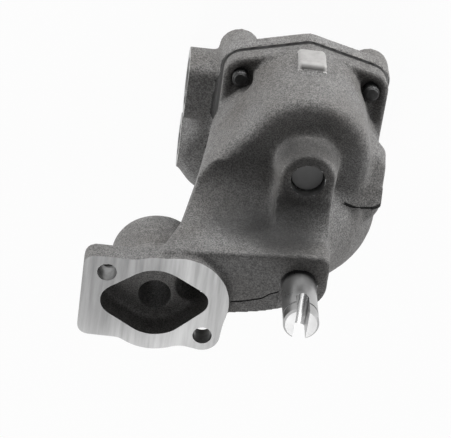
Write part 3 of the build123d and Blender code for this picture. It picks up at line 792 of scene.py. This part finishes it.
def coverSlots(at, normal, sizes):
    milled, bored, creaseShade = 1, 2, 3                  # slot 0 is the cast skin
    start = sizes["faceX"] - sizes["grow"]
    stop = sizes["faceX"] + sizes["inletDepth"]
    slots = np.zeros(len(at))
    slots[(at[:, 0] < sizes["faceX"] + levelSlack) | (at[:, 2] > sizes["partingZ"] - levelSlack)] = milled
    slots[onBore(at, 0, inletPlace, inletR, start, stop + 2 * wallSlack)] = bored
    slots[onBore(at, 0, (0, 0, sizes["reliefZ"]), sizes["reliefR"], start, sizes["reliefEnd"])] = bored
    # painted shadow: the cover's top strip beside the joint, shaded by the body's flange
    ledge = (at[:, 2] > sizes["partingZ"] - sizes["ledgeDepth"]) & (normal[:, 2] > sizes["ledgeRise"])
    slots[ledge & outsideOf(rimPoints(bodySizes, sizes["ledgeWidth"]), at)] = creaseShade
    for seatZ in sizes["seatZs"]:
        slots[(abs(at[:, 2] - seatZ) < levelSlack / 2) & (normal[:, 2] < -flatShare)] = bored
    return slots


def makeCover(sizes):
    piece = copyOfNode("pump_cover", "coverCasting")
    pushFaces(piece, 2, sizes["partingZ"], sizes["grow"])
    pushFaces(piece, 0, sizes["faceX"], -sizes["grow"])
    for seatZ in sizes["seatZs"]:
        pushFaces(piece, 2, seatZ, -sizes["seatGrow"])
    joinInto(piece, coverPlugs(sizes))
    softenCasting(piece, sizes)
    roughen(piece, *sizes["waves"])
    cutCover(piece, sizes)
    paint(piece, [castCover, milledFace, boredIron, paintedCreaseShade], coverSlots, sizes)
    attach(piece, "housing")
    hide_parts("pump_cover")
    print("cover casting", len(piece.data.polygons), "faces")


# Cover bolts
screwSizes = {
    "cutZ": -93.0, "cutTop": -60,                   # threads start at cutZ, inside the casting
    "tipZ": -80.0, "radius": 3.15, "pitch": 1.41, "depth": 0.45, "tipBevel": 0.8,
    "sides": 48, "rings": 110,
    "boltX": bodySizes["boltX"], "boltYs": bodySizes["boltYs"],
}


def threadedRod(place, sizes):
    piece = bar(2, place, sizes["cutZ"] - 1, sizes["tipZ"], sizes["radius"], sizes["sides"])
    editSome(piece, "EDGE", lambda edge: abs(edge.verts[0].co.z - edge.verts[1].co.z) > mm)
    bpy.ops.mesh.subdivide(number_cuts=sizes["rings"])         # cuts the upright edges into rings
    bpy.ops.object.mode_set(mode="OBJECT")
    coords = coordsOf(piece)
    middle = np.array(place) * mm
    around = coords - middle
    turns = np.arctan2(around[:, 1], around[:, 0]) / (2 * math.pi)
    phase = (coords[:, 2] / mm / sizes["pitch"] - turns) % 1.0
    cut = sizes["depth"] * (1 - abs(2 * phase - 1))            # a vee groove that climbs one pitch a turn
    cut += np.clip(coords[:, 2] / mm - (sizes["tipZ"] - sizes["tipBevel"]), 0, None)
    share = 1 - cut / sizes["radius"]
    coords[:, :2] = middle[:2] + around[:, :2] * share[:, None]
    setCoords(piece, coords)
    return piece


def boltSlots(at, normal, sizes):                   # black all over
    return np.zeros(len(at))


def makeScrews(sizes):                              # bolts from the frame, with threads on their shanks
    piece = copyOfNode("cover_bolts", "coverScrews")
    machine(piece, [wideSlab(sizes["cutZ"], sizes["cutTop"])])
    for place in boltPlaces(sizes):
        addTo(piece, threadedRod(place, sizes))
    paint(piece, [boltBlack], boltSlots, sizes)
    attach(piece, "housing")
    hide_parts("cover_bolts")
    print("cover screws", len(piece.data.polygons), "faces")


makeBody(bodySizes)
makeCover(coverSizes)
makeScrews(screwSizes)


def makeSpring():                              # copy of the relief spring, carried by the housing
    piece = copyOfNode("relief_spring", "reliefSpring")
    piece.data.materials.append(springSteel)
    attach(piece, "housing")
    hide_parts("relief_spring")
    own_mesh(piece)
    print("relief spring", len(piece.data.polygons), "faces")


makeSpring()


# Floor and room
stageSizes = {
    "floorSize": 4.0, "floorTone": 0.88, "floorRough": 0.9, "floorShine": 0.1,
    "shadowShare": 0.05,                            # how much of the floor's real shading the camera sees
    "roomTone": 0.14,
}


def seenDirectly(tree):                             # 1 for the camera, mirrors and glass, 0 for the light
    ray = tree.nodes.new("ShaderNodeLightPath")
    found = ray.outputs["Is Camera Ray"]
    for other in ("Is Glossy Ray", "Is Transmission Ray"):
        larger = tree.nodes.new("ShaderNodeMath")
        larger.operation = "MAXIMUM"
        tree.links.new(found, larger.inputs[0])
        tree.links.new(ray.outputs[other], larger.inputs[1])
        found = larger.outputs[0]
    return found


def blended(tree, share, first, second, output):    # one shader into another, and out
    blend = tree.nodes.new("ShaderNodeMixShader")
    tree.links.new(share, blend.inputs["Fac"])
    tree.links.new(first.outputs[0], blend.inputs[1])
    tree.links.new(second.outputs[0], blend.inputs[2])
    tree.links.new(blend.outputs[0], tree.nodes[output].inputs["Surface"])


def makeFloor(sizes):
    bpy.ops.mesh.primitive_plane_add(size=sizes["floorSize"], location=(0, 0, cadBox[0][2]))
    floor = bpy.context.object
    floor.name = "floor"
    settle(floor)
    material, tree, shader, place = startMaterial("paper")
    shader.inputs["Base Color"].default_value = (*grey(sizes["floorTone"]), 1)
    shader.inputs["Roughness"].default_value = sizes["floorRough"]
    shader.inputs["Specular IOR Level"].default_value = sizes["floorShine"]
    glow = tree.nodes.new("ShaderNodeEmission")
    share = tree.nodes.new("ShaderNodeMath")
    share.operation = "MULTIPLY"
    share.inputs[1].default_value = 1 - sizes["shadowShare"]
    tree.links.new(seenDirectly(tree), share.inputs[0])
    blended(tree, share.outputs[0], shader, glow, "Material Output")
    floor.data.materials.append(material)


def makeRoom(sizes):
    world = bpy.data.worlds.new("studio")
    world.use_nodes = True
    bpy.context.scene.world = world
    tree = world.node_tree
    room = tree.nodes["Background"]
    room.inputs["Color"].default_value = (*grey(sizes["roomTone"]), 1)
    white = tree.nodes.new("ShaderNodeBackground")
    white.inputs["Color"].default_value = (1, 1, 1, 1)
    blended(tree, seenDirectly(tree), room, white, "World Output")


makeFloor(stageSizes)
makeRoom(stageSizes)


# Lamps: place, width and height in metres, then watts
lampSizes = {
    "backLamp": ((0.03, 0.26, -0.095), (0.45, 0.04), 0.75),
    "leftLamp": ((-0.50, 0.12, -0.07), (0.40, 0.09), 1.85),
    "rightLamp": ((0.45, 0.20, -0.05), (0.40, 0.12), 1.9),
    "frontLamp": ((-0.15, -0.50, 0.45), (0.50, 0.50), 2.4),
}
lampAim = (0, 0, -0.06)


def makeLamp(name, place, size, power):
    light = bpy.data.lights.new(name, "AREA")
    light.shape = "RECTANGLE"
    light.size, light.size_y = size
    light.energy = power
    holder = placed(name, light)
    holder.location = place
    holder.rotation_euler = (Vector(lampAim) - Vector(place)).to_track_quat("-Z", "Y").to_euler()


for lampName, lampValues in lampSizes.items():
    makeLamp(lampName, *lampValues)
print("stage and lamps set")


# Camera
cameraSizes = {
    "tilt": 30.8686, "roll": 0.6460, "turn": 7.9402,           # degrees
    "distance": 700.0, "scale": 2.71413,            # millimetres, and pixels per millimetre at the target
    "target": (-27.3054, 8.1944, -30.0),
    "imageWidth": 451, "sensorWidth": 36, "farEnd": 10,
}


def makeCamera(sizes):
    tilt, roll, turn = (math.radians(sizes[key]) for key in ("tilt", "roll", "turn"))
    across = Vector((math.cos(turn), math.sin(turn), 0))
    away = Vector((-math.sin(turn), math.cos(turn), 0))
    up = Vector((0, 0, 1))
    back = up * math.cos(tilt) + away * math.sin(tilt)
    down = up * math.sin(tilt) - away * math.cos(tilt)
    right = across * math.cos(roll) + down * math.sin(roll)
    under = down * math.cos(roll) - across * math.sin(roll)
    camera = bpy.data.cameras.new("camera")
    camera.sensor_width = sizes["sensorWidth"]
    camera.lens = sizes["scale"] * sizes["distance"] * sizes["sensorWidth"] / sizes["imageWidth"]
    camera.clip_end = sizes["farEnd"]
    holder = placed("camera", camera)
    place = Matrix((right, -under, back)).transposed().to_4x4()
    place.translation = (Vector(sizes["target"]) + back * sizes["distance"]) * mm
    holder.matrix_world = place
    bpy.context.scene.camera = holder


makeCamera(cameraSizes)
print("camera placed")
bpy.context.scene.view_settings.view_transform = "Standard"
